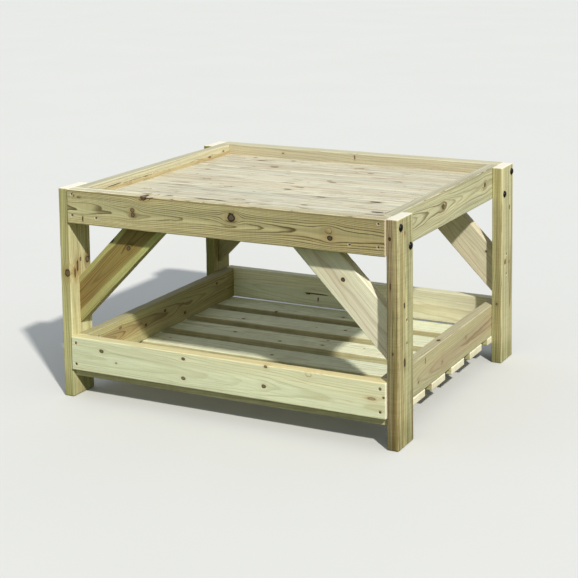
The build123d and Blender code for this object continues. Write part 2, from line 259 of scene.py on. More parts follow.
def timber_material(name, st, knots, seed):
    mat = bpy.data.materials.new(name)
    mat.use_nodes = True
    t = mat.node_tree
    t.nodes.clear()
    g = G(t)
    out = g.node("ShaderNodeOutputMaterial")
    bsdf = g.node("ShaderNodeBsdfPrincipled")
    t.links.new(bsdf.outputs[0], out.inputs[0])
    P0 = g.attr("grain").outputs["Vector"]
    P, kn = P0, []
    for k in knots:
        n = g.node("ShaderNodeGroup", node_tree=KNOT)
        g.put(n.inputs["P"], P0)
        for key in ("C", "Mask", "R", "Stretch", "Dark", "Swirl"):
            g.put(n.inputs[key], k[key])
        P = g.v("SUBTRACT", P, n.outputs["Offset"])
        kn.append((n, k))
    w = g.node("ShaderNodeGroup", node_tree=TIMBER)
    g.put(w.inputs["P"], P)
    g.put(w.inputs["Seed"], seed)
    for key in ("Ring", "Early", "Late", "Heart", "RHeart", "Contrast", "Wobble", "Dash", "DashCol", "Saw", "Lw", "Var"):
        g.put(w.inputs[key], st[key])
    col, height = w.outputs["Color"], w.outputs["Height"]
    for n, k in kn:
        col = g.mix(g.m("MULTIPLY", n.outputs["Halo"], k["Ring"]), col, g.mul(col, (0.74, 0.56, 0.40)))
        if k["Cover"] < 0.5:  # an overgrown branch: only a crescent shows
            col = g.mix(g.m("MULTIPLY", n.outputs["Rim"], k["Cover"] * 2), col, n.outputs["Color"])
            continue
        col = g.mix(g.m("MULTIPLY", n.outputs["Body"], k["Cover"]), col, n.outputs["Color"])
        height = g.m("SUBTRACT", height, g.m("MULTIPLY", n.outputs["Body"], 0.8))
    # end grain: growth ring arcs, sawn speckle, lighter
    sp = g.noise(g.v("MULTIPLY", P0, (40, 900, 900)), detail=2)
    endc = g.mix(g.m("MULTIPLY", w.outputs["Late"], 0.75), st["End"], g.mul(st["End"], (0.78, 0.68, 0.52)))
    endc = g.mul(endc, g.grey(g.m("ADD", 0.82, g.m("MULTIPLY", sp, 0.34))))
    col = g.mix(g.attr("endg").outputs["Fac"], col, endc)
    # each face of a board has its own tone; on several boards this factor also holds painted light and shade: tops
    # painted lighter and bluer as if lit by the sky, faces and ends painted darker where shade falls, shaded ends
    # painted lighter
    col = g.mul(col, g.attr("tone_and_painted_light").outputs["Color"])
    # worn, paler arrises, broken up along the length
    an = g.noise(g.v("MULTIPLY", P0, (30, 90, 90)), detail=2)
    aw = g.m("MULTIPLY", g.attr("arris").outputs["Fac"], g.step(an, 0.30, 0.62, 0.15, 0.85))
    col = g.mix(g.m("MULTIPLY", aw, st["Wear"]), col, g.mix(0.5, g.mul(col, (1.25, 1.23, 1.20)), (0.70, 0.66, 0.47)))
    # damp grime that creeps up from the ground
    tc = g.node("ShaderNodeTexCoord").outputs["Object"]
    zz = g.split(tc)[2]
    gn = g.noise(g.v("MULTIPLY", tc, (30, 30, 9)), detail=3)
    gr = g.step(g.m("SUBTRACT", zz, g.m("MULTIPLY", gn, 0.10)), -0.035, 0.045, 0.55, 0.0)
    col = g.mix(gr, col, g.mul(col, (0.52, 0.53, 0.40)))
    g.put(bsdf.inputs["Base Color"], col)
    rg = g.m("ADD", st["Rough"], g.m("MULTIPLY", g.m("SUBTRACT", w.outputs["Fibre"], 0.5), 0.16))
    g.put(bsdf.inputs["Roughness"], g.m("SUBTRACT", rg, g.m("MULTIPLY", w.outputs["Late"], 0.10), clamp=True))
    g.put(bsdf.inputs["Specular IOR Level"], 0.30)
    b = g.node("ShaderNodeBump")
    g.put(b.inputs["Strength"], 0.55)
    g.put(b.inputs["Distance"], 0.0007)
    g.put(b.inputs["Height"], height)
    t.links.new(b.outputs[0], bsdf.inputs["Normal"])
    return mat


def metal_material(name, base, metallic, rough, wear, fleck):
    mat = bpy.data.materials.new(name)
    mat.use_nodes = True
    t = mat.node_tree
    t.nodes.clear()
    g = G(t)
    out = g.node("ShaderNodeOutputMaterial")
    bsdf = g.node("ShaderNodeBsdfPrincipled")
    t.links.new(bsdf.outputs[0], out.inputs[0])
    tc = g.node("ShaderNodeTexCoord").outputs["Object"]
    n1 = g.noise(tc, scale=260, detail=3)
    n2 = g.noise(tc, scale=1500, detail=2)
    k = g.step(n1, 0.50, 0.66)
    col = g.mix(g.m("MULTIPLY", k, wear), base, fleck)
    col = g.mul(col, g.grey(g.m("ADD", 0.86, g.m("MULTIPLY", n2, 0.28))))
    g.put(bsdf.inputs["Base Color"], col)
    g.put(bsdf.inputs["Metallic"], metallic)
    g.put(bsdf.inputs["Roughness"], g.m("ADD", rough, g.m("MULTIPLY", g.m("SUBTRACT", n1, 0.4), 0.30), clamp=True))
    b = g.node("ShaderNodeBump")
    g.put(b.inputs["Strength"], 0.25)
    g.put(b.inputs["Distance"], 0.0002)
    g.put(b.inputs["Height"], n2)
    t.links.new(b.outputs[0], bsdf.inputs["Normal"])
    return mat


# -------------------------------------------------------------- board meshes
def lines(length, r, step, extra=()):
    """Lattice positions along one side: arris arcs at both ends, support lines, even steps, and any extra lines."""
    arc = [r * (1 - math.tan(math.radians(a))) for a in (45, 22.5, 0)]
    ends = arc + [r + 0.0009]
    inner0, inner1 = ends[-1], length - ends[-1]
    n = max(1, round((inner1 - inner0) / step))
    mid = [inner0 + (inner1 - inner0) * k / n for k in range(1, n)]
    ex = [e for e in extra if inner0 + 0.0004 < e < inner1 - 0.0004]
    mid = [m for m in mid if all(abs(m - e) > 0.0012 for e in ex)]
    pts = sorted(ends + [length - e for e in ends] + mid + ex)
    keep = [pts[0]]
    for p in pts[1:]:
        if p - keep[-1] > 1e-5:
            keep.append(p)
    return np.array(keep)


def lattice(a, b, c):
    """Closed skin of the box lattice with those lines. Returns vertex positions and quads."""
    na, nb, nc = len(a), len(b), len(c)
    keys, quads_src, base = [], [], 0

    def side(i, j, k, flip):
        nonlocal base
        key = (i * nb + j) * nc + k
        n, m = key.shape
        idx = np.arange(n * m).reshape(n, m) + base
        q = np.stack([idx[:-1, :-1], idx[1:, :-1], idx[1:, 1:], idx[:-1, 1:]], -1).reshape(-1, 4)
        quads_src.append(q[:, ::-1] if flip else q)
        keys.append(key.ravel())
        base += n * m

    A, B = np.meshgrid(range(na), range(nb), indexing="ij")
    side(A, B, np.zeros_like(A), True)
    side(A, B, np.full_like(A, nc - 1), False)
    A, C = np.meshgrid(range(na), range(nc), indexing="ij")
    side(A, np.zeros_like(A), C, False)
    side(A, np.full_like(A, nb - 1), C, True)
    B, C = np.meshgrid(range(nb), range(nc), indexing="ij")
    side(np.zeros_like(B), B, C, True)
    side(np.full_like(B, na - 1), B, C, False)
    keys, quads = np.concatenate(keys), np.concatenate(quads_src)
    uniq, inv = np.unique(keys, return_inverse=True)
    k = uniq % nc
    j = (uniq // nc) % nb
    i = uniq // (nc * nb)
    return np.stack([a[i], b[j], c[k]], -1), inv[quads]


def wave(x, rnd, periods):
    s = np.zeros_like(x)
    for p in periods:
        s += np.sin(x * (2 * math.pi / p) + rnd.uniform(0, 6.28)) * rnd.uniform(0.5, 1.0)
    return s / max(1, len(periods))


class Board:
    """A planed board: length along L, width along W, thickness along T, in metres. O is the corner at (0, 0, 0)."""

    def __init__(self, node, O, L, W, T, size, taper=0.0):
        self.node, self.O = node, Vector(O)
        self.L, self.W, self.T = Vector(L), Vector(W), Vector(T)
        self.size, self.taper = size, taper

    def local(self, p):
        q = Vector(p) - self.O
        return q.dot(self.L), q.dot(self.W), q.dot(self.T)

    def world(self, pts):
        M = np.array([self.L, self.W, self.T])
        return pts @ M + np.array(self.O)


def box_board(node, grain, thick):
    lo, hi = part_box(node)
    axes = [Vector((1, 0, 0)), Vector((0, 1, 0)), Vector((0, 0, 1))]
    width = 3 - grain - thick
    L, W, T = axes[grain], axes[width], axes[thick]
    if L.cross(W).dot(T) < 0:  # right-handed, by measuring the width from the far side
        W = -W
    O = [lo[i] for i in range(3)]
    if W[width] < 0:
        O[width] = hi[width]
    d = hi - lo
    return Board(node, O, L, W, T, (d[grain], d[width], d[thick]))


def brace_board(node):
    lo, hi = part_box(node)
    s = 1.0 if lo[0] > 0 else -1.0
    far = hi[0] if s > 0 else lo[0]
    near = lo[0] if s > 0 else hi[0]
    a, b = Vector((far, 0, lo[2])), Vector((near, 0, hi[2]))
    L = (b - a).normalized()
    W = Vector((s, 0, 1)).normalized()
    T = Vector((0, 1, 0))
    low = (b - a).length
    width = 0.095
    O = Vector((a.x, lo[1], a.z))
    if L.cross(W).dot(T) < 0:
        T = -T
        O.y = hi[1]
    return Board(node, O, L, W, T, (low, width, hi[1] - lo[1]), taper=2 * width)


def make_board(bd, arris, seed, holes=(), checks=(), bumps=(), warp=0.0005, step=0.022, rows=()):
    rnd = random.Random(seed * 7919 + 13)
    Lx, Wy, Tz = bd.size
    ex_l, ex_w = [], list(rows)
    for (l, w, r) in bumps:
        ex_l += [l + r * q for q in (-1.5, -1.15, -0.85, -0.5, 0, 0.5, 0.85, 1.15, 1.5)]
        ex_w += [w + r * q for q in (-1.5, -1.15, -0.85, -0.5, 0, 0.5, 0.85, 1.15, 1.5)]
    for c in checks:
        ex_w += [c["w"] - 0.0011, c["w"], c["w"] + 0.0011]
        n = max(3, int((c["l1"] - c["l0"]) / 0.007))
        ex_l += [c["l0"] + (c["l1"] - c["l0"]) * k / n for k in range(n + 1)]
    la, lb, lc = lines(Lx, arris, step, ex_l), lines(Wy, arris, 0.013, ex_w), lines(Tz, arris, 0.012)
    p, quads = lattice(la, lb, lc)
    raw = p.copy()
    # worn arrises: the radius wanders along the board, with a few knocks
    rad = arris * (1.0 + 0.28 * wave(p[:, 0] + p[:, 1] * 2.1, rnd, (0.31, 0.11, 0.047)))
    for _ in range(4):
        x0, y0, s = rnd.uniform(0, Lx), rnd.choice((0, Wy)), rnd.uniform(0.004, 0.012)
        rad += arris * rnd.uniform(0.25, 0.7) * np.exp(-((p[:, 0] - x0) / s) ** 2 - ((p[:, 1] - y0) / 0.02) ** 2)
    rad = np.minimum(rad, min(Wy, Tz) * 0.3)[:, None]
    c = np.clip(p, rad, np.array([Lx, Wy, Tz]) - rad)
    d = p - c
    n = np.linalg.norm(d, axis=1, keepdims=True)
    p = np.where(n > 1e-9, c + d * (rad / np.maximum(n, 1e-9)), p)
    top, bot = raw[:, 2] > Tz - 1e-7, raw[:, 2] < 1e-7
    # drying checks, cut as narrow V grooves
    for ck in checks:
        on = (top if ck["side"] > 0 else bot) & (np.abs(raw[:, 1] - ck["w"]) < 0.0013)
        t = (raw[:, 0] - ck["l0"]) / (ck["l1"] - ck["l0"])
        inside = on & (t > -1e-6) & (t < 1 + 1e-6)
        shape = np.sin(np.clip(t, 0, 1) * math.pi) ** 0.6
        mid = inside & (np.abs(raw[:, 1] - ck["w"]) < 1e-6)
        p[mid, 2] -= ck["side"] * ck["depth"] * shape[mid]
        wig = 0.0016 * np.sin(raw[:, 0] * 61 + ck["w"] * 400) + 0.0007 * np.sin(raw[:, 0] * 190)
        near = (top if ck["side"] > 0 else bot) & (np.abs(raw[:, 1] - ck["w"]) < 0.0013)
        p[near, 1] += wig[near]
    # knots stand a little proud inside a shrunk ring
    for (l, w, r) in bumps:
        q = np.hypot(raw[:, 0] - l, raw[:, 1] - w) / r
        dz = 0.00035 * np.exp(-(q / 0.7) ** 4) - 0.0006 * np.exp(-((q - 1.0) / 0.16) ** 2)
        p[top, 2] += dz[top]
        p[bot, 2] -= dz[bot]
    # slight bow, cup and uneven planing
    if warp:
        bow = wave(raw[:, 0], rnd, (1.7, 0.63)) * warp
        cup = ((raw[:, 1] / Wy - 0.5) ** 2 - 0.08) * warp * rnd.uniform(-1.2, 1.2)
        pl = wave(raw[:, 0] + 0.37 * raw[:, 1], rnd, (0.093, 0.041)) * 0.00006
        fade = np.clip(np.minimum(raw[:, 0], Lx - raw[:, 0]) / 0.05, 0, 1)
        p[:, 2] += (bow + cup) * fade * 0.6 + pl
        p[:, 1] += wave(raw[:, 0], rnd, (0.9, 0.37)) * warp * 0.35 * fade
    # a hair inside its nominal size, so that joints read as joints
    p = np.array([Lx, Wy, Tz]) / 2 + (p - np.array([Lx, Wy, Tz]) / 2) * (1 - 0.00030 / np.array([Lx, Wy, Tz]))
    if bd.taper:
        p[:, 0] = Lx / 2 + (p[:, 0] - Lx / 2) * (1 - bd.taper * p[:, 1] / Wy / Lx)
    mesh = bpy.data.meshes.new(bd.node + "_timber")
    pw = bd.world(p)
    mesh.from_pydata(pw.tolist(), [], quads.tolist())
    mesh.validate()
    obj = bpy.data.objects.new(bd.node + "_timber", mesh)
    bpy.context.scene.collection.objects.link(obj)
    if holes:
        cut_holes(obj, holes)
    return obj


def lathe_into(bm, profile, origin, axis, seg=28):
    """Adds a closed body of revolution. profile is (radius, distance along axis), from pole to pole."""
    axis = Vector(axis).normalized()
    side = axis.orthogonal().normalized()
    up = axis.cross(side)
    rings = []
    for r, h in profile:
        c = Vector(origin) + axis * h
        if r < 1e-9:
            rings.append([bm.verts.new(c)])
        else:
            rings.append([bm.verts.new(c + (side * math.cos(a) + up * math.sin(a)) * r)
                          for a in (2 * math.pi * k / seg for k in range(seg))])
    for a, b in zip(rings[:-1], rings[1:]):
        for k in range(seg):
            k2 = (k + 1) % seg
            if len(a) == 1 and len(b) > 1:
                bm.faces.new((a[0], b[k2], b[k]))
            elif len(b) == 1 and len(a) > 1:
                bm.faces.new((a[k], a[k2], b[0]))
            elif len(a) > 1:
                bm.faces.new((a[k], a[k2], b[k2], b[k]))


def cut_holes(obj, holes):
    """Countersinks: holes is a list of (point on the face, outward normal, rim radius)."""
    bm = bmesh.new()
    for p, n, r in holes:
        prof = [(0, 0.002), (r + 0.0019, 0.002), (r, 0.0), (r * 0.50, -0.0042), (r * 0.48, -0.014), (0, -0.014)]
        lathe_into(bm, prof, p, n, 24)
    bmesh.ops.recalc_face_normals(bm, faces=bm.faces)
    me = bpy.data.meshes.new("cutter")
    bm.to_mesh(me)
    bm.free()
    cut = bpy.data.objects.new("cutter", me)
    bpy.context.scene.collection.objects.link(cut)
    mod = obj.modifiers.new("cut", "BOOLEAN")
    mod.operation, mod.solver, mod.object = "DIFFERENCE", "EXACT", cut
    bpy.context.view_layer.update()
    dg = bpy.context.evaluated_depsgraph_get()
    new = bpy.data.meshes.new_from_object(obj.evaluated_get(dg))
    obj.modifiers.clear()
    old, name = obj.data, obj.data.name
    obj.data = new
    bpy.data.meshes.remove(old)
    new.name = name
    bpy.data.objects.remove(cut)
    bpy.data.meshes.remove(me)


def dress(obj, bd, st, knots, seed, tones_and_painted_light, arris):
    """Attributes the timber shader reads, then the material."""
    me = obj.data
    n = len(me.vertices)
    co = np.empty(n * 3, np.float32)
    me.vertices.foreach_get("co", co)
    co = co.reshape(-1, 3).astype(float)
    q = co - np.array(bd.O)
    M = np.array([bd.L, bd.W, bd.T])
    loc = q @ M.T
    Lx, Wy, Tz = bd.size
    pw, pt = st["Pith"]
    tw, tt = st["Tilt"]

    def log(l, w, t):
        x = l - Lx / 2
        return (l, w - Wy / 2 - pw - tw * x, t - Tz / 2 - pt - tt * x)

    grain = np.stack(log(loc[:, 0], loc[:, 1], loc[:, 2]), -1)
    a = me.attributes.new("grain", "FLOAT_VECTOR", "POINT")
    a.data.foreach_set("vector", grain.astype(np.float32).ravel())
    dist = np.stack([np.minimum(loc[:, 1], Wy - loc[:, 1]), np.minimum(loc[:, 2], Tz - loc[:, 2])], -1)
    if not bd.taper:
        dist = np.concatenate([dist, np.minimum(loc[:, :1], Lx - loc[:, :1])], 1)
    ds = np.sort(dist, axis=1)
    near = np.clip(1 - (ds[:, 1] - 0.0) / (arris * 1.25), 0, 1)
    a = me.attributes.new("arris", "FLOAT", "POINT")
    a.data.foreach_set("value", near.astype(np.float32))
    nf = len(me.polygons)
    fn = np.empty(nf * 3, np.float32)
    me.polygons.foreach_get("normal", fn)
    fn = fn.reshape(-1, 3).astype(float)
    cutn = np.array(bd.L)
    if bd.taper:
        fc = np.empty(nf * 3, np.float32)
        me.polygons.foreach_get("center", fc)
        fc = fc.reshape(-1, 3)
        al = np.abs(fn @ np.array(bd.W))
        end = ((np.abs(fn @ cutn) > 0.5) & (al > 0.5)).astype(np.float32)
    else:
        end = (np.abs(fn @ cutn) > 0.62).astype(np.float32)
    a = me.attributes.new("endg", "FLOAT", "FACE")
    a.data.foreach_set("value", end)
    vn = np.empty(n * 3, np.float32)
    me.vertices.foreach_get("normal", vn)
    vn = vn.reshape(-1, 3).astype(float)
    # colour factor per vertex: the board's own tone by face, and on some boards painted light and shade by face and
    # along the length
    col = np.ones((n, 4), np.float32)
    if tones_and_painted_light:
        acc, wsum = np.zeros((n, 3)), np.zeros(n)
        base = np.array(tones_and_painted_light.get("all", (1, 1, 1)), float)
        for axis in range(3):
            for sign, ch in ((1, "+"), (-1, "-")):
                wgt = np.clip(vn[:, axis] * sign, 0, 1) ** 2
                tone_and_painted_light = np.array(tones_and_painted_light.get(ch + "xyz"[axis], base), float)
                acc += wgt[:, None] * tone_and_painted_light
                wsum += wgt
        col[:, :3] = acc / np.maximum(wsum, 1e-6)[:, None]
        if "grad" in tones_and_painted_light:  # the far end of the board, relative to the near end
            f = np.clip(loc[:, :1] / Lx, 0, 1)
            col[:, :3] *= 1 + (np.array(tones_and_painted_light["grad"], float) - 1) * f
        for ch, sgn in (("+", 1), ("-", -1)):
            for axis in range(3):
                key = "grad" + ch + "xyz"[axis]
                if key in tones_and_painted_light:
                    f = np.clip(loc[:, :1] / Lx, 0, 1) * (vn[:, axis:axis + 1] * sgn > 0.6)
                    col[:, :3] *= 1 + (np.array(tones_and_painted_light[key], float) - 1) * f
        for (s, w0, w1, c) in tones_and_painted_light.get("bands", ()):  # a strip of one wide face
            on = (np.abs(loc[:, 2] - (Tz if s > 0 else 0)) < 0.004) & (loc[:, 1] > w0) & (loc[:, 1] < w1)
            col[on, :3] *= np.array(c, float)
        for (key, k, w0, w1, c) in tones_and_painted_light.get("strips", ()):  # a strip of the face that looks this way
            on = (vn[:, "xyz".index(key[1])] * (1 if key[0] == "+" else -1) > 0.6) & (loc[:, k] > w0) & (loc[:, k] < w1)
            col[on, :3] *= np.array(c, float)
    a = me.attributes.new("tone_and_painted_light", "FLOAT_COLOR", "POINT")
    a.data.foreach_set("color", col.ravel())
    ks = []
    for k in knots:
        l, w, t = bd.local(k["at"])
        ax = k["axis"]
        v = Vector((1, 0, 0)) if ax == "x" else Vector((0, 1, 0)) if ax == "y" else Vector((0, 0, 1))
        # the branch thins out below the face it shows on
        mask = (1.0, 1.0, 0.28) if abs(v.dot(bd.T)) > abs(v.dot(bd.W)) else (1.0, 0.28, 1.0)
        ks.append(dict(C=log(l, w, t), Mask=mask, R=k["r"], Stretch=k["s"], Dark=k["d"],
                       Swirl=k["sw"], Ring=k["h"], Cover=k["c"]))
    mat = timber_material(bd.node + "_wood", st, ks, seed)
    me.materials.clear()
    me.materials.append(mat)
    me.shade_smooth()
    me.set_sharp_from_angle(angle=math.radians(32))
    return obj


def K(x, y, z, axis, r, s=1.0, d=0.8, sw=1.0, h=0.55, c=1.0):
    """A knot: centre in mm, the axis it runs along, radius in mm, stretch along the grain, darkness, swirl of the grain, halo, cover."""
    return dict(at=(x * MM, y * MM, z * MM), axis=axis, r=r * MM, s=s, d=d, sw=sw, h=h, c=c)


# ------------------------------------------------------------------- styles
def style(**kw):
    st = dict(Lw=0.46, Var=1.0, Ring=0.0040, Early=(0.56, 0.53, 0.31), Late=(0.26, 0.22, 0.095), Heart=(0.46, 0.33, 0.15),
              RHeart=-1.0, Contrast=1.0, Wobble=0.010, Dash=0.35, DashCol=(0.30, 0.20, 0.10), Saw=0.10,
              End=(0.88, 0.83, 0.68), Wear=0.35, Rough=0.66, Pith=(0.0, -0.07), Tilt=(0.0, 0.02))
    st.update(kw)
    return st


OLIVE = dict(Early=(0.50, 0.475, 0.255), Late=(0.175, 0.145, 0.055))
PALE = dict(Early=(0.67, 0.68, 0.46), Late=(0.50, 0.48, 0.27))
CREAM = dict(Early=(0.71, 0.695, 0.53), Late=(0.50, 0.40, 0.265), DashCol=(0.46, 0.30, 0.19))
TAN = dict(Early=(0.58, 0.545, 0.335), Late=(0.34, 0.28, 0.135))

BOARDS = {}


def board(node, grain, thick, st, knots=(), tones_and_painted_light=None, arris=0.003, holes=(), checks=(), bumps=(), warp=0.0005, slot="frame_timber", brace=False, rows=()):
    BOARDS[node] = dict(bd=brace_board(node) if brace else box_board(node, grain, thick), st=st, knots=list(knots),
                        tones_and_painted_light=tones_and_painted_light, arris=arris, holes=list(holes), checks=list(checks), bumps=list(bumps), rows=list(rows),
                        warp=warp, slot=slot)


# ---- fixings: read where each one is from the CAD groups
def islands(node):
    me = NODES[node].data
    n = len(me.vertices)
    parent = list(range(n))

    def find(a):
        while parent[a] != a:
            parent[a] = parent[parent[a]]
            a = parent[a]
        return a

    # coincident vertices join too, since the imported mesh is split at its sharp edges
    seen = {}
    for v in me.vertices:
        key = tuple(round(c * 1e5) for c in v.co)
        if key in seen:
            parent[find(v.index)] = find(seen[key])
        else:
            seen[key] = v.index
    for e in me.edges:
        a, b = find(e.vertices[0]), find(e.vertices[1])
        if a != b:
            parent[a] = b
    groups = {}
    for v in me.vertices:
        groups.setdefault(find(v.index), []).append(v.co[:])
    out = []
    for pts in groups.values():
        pts = np.array(pts)
        lo, hi = pts.min(0), pts.max(0)
        ax = int(np.argmax(hi - lo))
        mid = (lo + hi) / 2
        other = [k for k in range(3) if k != ax]
        r = np.hypot(pts[:, other[0]] - mid[other[0]], pts[:, other[1]] - mid[other[1]])
        head = pts[r > r.max() * 0.97][:, ax].mean()
        sign = 1 if head > mid[ax] else -1
        face = mid.copy()
        face[ax] = hi[ax] if sign > 0 else lo[ax]
        normal = np.zeros(3)
        normal[ax] = sign
        out.append(dict(face=Vector(face), normal=Vector(normal), length=float(hi[ax] - lo[ax]), r=float(r.max()), lo=lo, hi=hi))
    out.sort(key=lambda d: tuple(round(c, 4) for c in d["face"]))
    return out


FIX = {n: islands(n) for n in NODES if n.endswith("_screws") or n in ("coach_bolts",)}


def holes_on(node_lo, node_hi, groups):
    """Countersunk holes for the screws whose heads lie on this board."""
    found = []
    for gname in groups:
        for f in FIX[gname]:
            p, n = f["face"], f["normal"]
            ax = [i for i in range(3) if abs(n[i]) > 0.5][0]
            surf = node_hi[ax] if n[ax] > 0 else node_lo[ax]
            if abs(p[ax] - surf) < 0.0015 and all(node_lo[k] + 0.002 < p[k] < node_hi[k] - 0.002 for k in range(3) if k != ax):
                q = Vector(p)
                q[ax] = surf
                found.append((q, n, f["r"] + 0.00045))
    return found


WOOD_SCREWS = [n for n in FIX if n not in ("coach_screws", "coach_bolts")]


def auto_holes(node):
    lo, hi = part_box(node)
    return holes_on(lo, hi, WOOD_SCREWS)


# ---- the timber
fy = -430
board("rail_front", 0, 1,
      style(Early=(0.60, 0.555, 0.310), Late=(0.165, 0.130, 0.055), Lw=0.54, Var=2.1, Ring=0.0023, Pith=(0.003, 0.013), Tilt=(0.006, 0.012), Wobble=0.009, Contrast=1.25, Dash=0.3, DashCol=(0.20, 0.14, 0.07), Saw=0.24, Wear=0.5),
      [K(-228, fy, 587, "y", 8.6, 1.15, 0.85, 1.3), K(-264, fy, 549, "y", 6.0, 1.1, 0.55, 1.3), K(-263, fy, 536, "y", 6.4, 1.1, 0.8, 1.3),
       K(42, fy, 556, "y", 11.0, 1.10, 1.0, 1.15, 0.6),
       K(327, fy, 529, "y", 6.6, 1.2, 1.0, 1.3), K(324, fy, 547, "y", 7, 1.4, 0.35, 1.2, 0.35, 0.40), K(-400, fy, 545, "y", 8, 2.4, 0.0, 1.0, 0.05, 0.01),
       K(-427, fy, 511, "y", 9.0, 0.30, 1.0, 0.0, 0.3), K(-455, fy, 573, "y", 3, 1.0, 0.6), K(-437, fy, 570, "y", 2.2, 2.4, 0.4)],
      {"all": (1, 1, 1), "-y": (1.06, 1.07, 1.07), "+z": (1.34, 1.44, 1.98), "+y": (1.3, 1.25, 1.25), "grad": (0.79, 0.73, 0.66), "bands": [(-1, 0.0016, 0.0050, (0.66, 0.63, 0.56))]},
      holes=auto_holes("rail_front"), rows=(0.0046, 0.0070))
board("rail_back", 0, 1, style(**TAN, Pith=(0.01, 0.045), Tilt=(0.01, 0.012), Dash=0.25, Contrast=0.7, Var=1.2),
      [K(4, 385, 577, "y", 7, 0.30, 1.0, 0.6, 0.4), K(-250, 385, 573, "y", 2.4, 1.6, 0.4), K(260, 430, 548, "y", 8, 1.2, 0.7), K(-180, 430, 530, "y", 5, 1.1, 0.8)],
      {"all": (1.05, 1.02, 1.13), "-y": (0.98, 0.95, 1.06), "+z": (1.08, 1.10, 1.28)}, holes=auto_holes("rail_back"))
board("rail_left", 1, 0, style(**TAN, Pith=(0.02, 0.045), Tilt=(0.02, 0.015), Dash=0.35, Contrast=0.75, Var=1.15),
      [K(-447, 345, 573, "x", 3, 1.8, 0.6), K(-447, -252, 571.5, "x", 1.5, 24.0, 1.0, 0.1, 0.25, 0.95), K(-447, -120, 570, "x", 0.9, 50.0, 0.7, 0.1, 0.2, 0.7), K(-447, 262, 567, "x", 3.2, 2.4, 0.5), K(-479, -150, 540, "x", 8, 1.2, 0.85), K(-479, 210, 560, "x", 5, 1.1, 0.6)],
      {"all": (1.14, 1.13, 1.26), "+z": (0.98, 1.00, 1.18), "bands": [(1, 0.0632, 0.0745, (0.88, 0.77, 0.62))]}, holes=auto_holes("rail_left"),
      checks=[dict(w=0.0755, l0=0.070, l1=0.420, side=1, depth=0.0030), dict(w=0.0740, l0=0.430, l1=0.760, side=1, depth=0.0016)])
board("rail_right", 1, 0, style(Early=(0.62, 0.59, 0.375), Late=(0.23, 0.175, 0.085), Ring=0.0028, Pith=(0.006, -0.026), Tilt=(0.008, -0.018), Wobble=0.013, Contrast=1.15, Dash=0.3, Var=1.8),
      [K(479, -50, 547, "x", 7.4, 1.15, 0.85, 1.6, 0.6), K(479, 271, 549, "x", 7.0, 0.9, 1.0, 1.5, 0.6), K(479, 252, 540, "x", 5, 1.6, 0.3, 1.0, 0.3, 0.4)],
      {"all": (0.98, 1.03, 1.06), "+x": (1.10, 1.15, 1.20), "grad+x": (0.88, 0.88, 0.87), "+z": (0.89, 0.93, 1.09)}, holes=auto_holes("rail_right"))

rd = random.Random(41)
DECK_MARKS = {1: [(372, -330, 3.8, 3.4, .8, .9), (-300, -340, 5, 2.2, .5, .4)],
              2: [(-370, -201, 6, 2.0, .75, .42), (-52, -227, 6.5, 2.1, .6, .38), (366, -229, 3.8, 4.0, 0.85, .9), (146, -221, 2.6, 3.2, .6, .8)],
              3: [(140, -112, 2.8, 4.2, .8, .9), (306, -114, 3.2, 4.4, .9, .9)],
              4: [(-289, -12, 6, 2.0, .8, .45), (-171, -87, 6, 1.9, .7, .42), (3, -52, 3.2, 3.2, .8, .9), (22, -14, 2.4, 5.0, .7, .8)],
              5: [(76, 88, 3, 3.4, .7, .8), (-30, 30, 2.4, 4.0, .6, .7)],
              6: [(58, 104, 3, 2.6, .7, .8), (-370, 126, 2.4, 3, .6, .8), (250, 170, 2.4, 3.5, .5, .8)],
              7: [(-199, 236, 3.2, 3.4, .8, .9), (-205, 247, 5, 2.4, .5, .4), (120, 255, 2.4, 4, .6, .8)],
              8: [(54, 312, 7, 1.9, .7, .45), (-290, 319, 2.6, 3.4, .7, .9), (-336, 360, 2.4, 2.6, .6, .8), (-194, 353, 3, 2.0, .8, .9)]}
for k in range(1, 9):
    node = f"deck_board_{k}"
    lo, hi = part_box(node)
    cy = (lo.y + hi.y) / 2 / MM
    # the dark marks are broad across the grain, the pale ones are thin crescents
    kn = [K(x, y, 558, "z", r * (1.75 if c > 0.6 else 1.1), s / (1.45 if c > 0.6 else 1.0), min(1.0, d * 1.25), 0.9, 0.5, min(1.0, c * 1.1)) for (x, y, r, s, d, c) in DECK_MARKS[k]]
    for _ in range(4):
        kn.append(K(rd.uniform(-420, 420), cy + rd.uniform(-38, 38), 558, "z", rd.uniform(1.3, 2.2), rd.uniform(1.6, 4.5), rd.uniform(.4, .8), 0.5, 0.35, 0.8))
    warm = rd.uniform(-1, 1)
    tone = 1.0 + 0.03 * rd.uniform(-1, 1)
    board(node, 0, 2, style(Early=(0.70, 0.685, 0.545), Late=(0.385, 0.295, 0.20), DashCol=(0.215, 0.125, 0.075), Lw=0.64, Var=2.0, Ring=0.0046 + 0.0014 * rd.random(), Pith=(rd.choice((-1, 1)) * rd.uniform(0.02, 0.09), -rd.uniform(0.04, 0.09)),
                            Tilt=(rd.uniform(-0.01, 0.01), rd.uniform(-0.014, 0.014)), Wobble=0.006, Contrast=1.05, Dash=1.7, Saw=0.06, Wear=0.5, Rough=0.58),
          kn, {"all": (tone * (1 + 0.01 * warm), tone, tone * (1 - 0.015 * warm))}, arris=0.0015, warp=0.0004, slot="deck_timber")

for node, gr in (("deck_bearer_left", 1), ("deck_bearer_right", 1), ("deck_batten_centre", 1)):
    board(node, gr, 2, style(**TAN, Pith=(0.03, -0.05), Contrast=0.9), [K(0, -120, 499, "z", 4, 1.3, 0.7)] if "batten" in node else [],
          {"all": (0.95, 0.92, 0.85)}, arris=0.0025, holes=auto_holes(node))

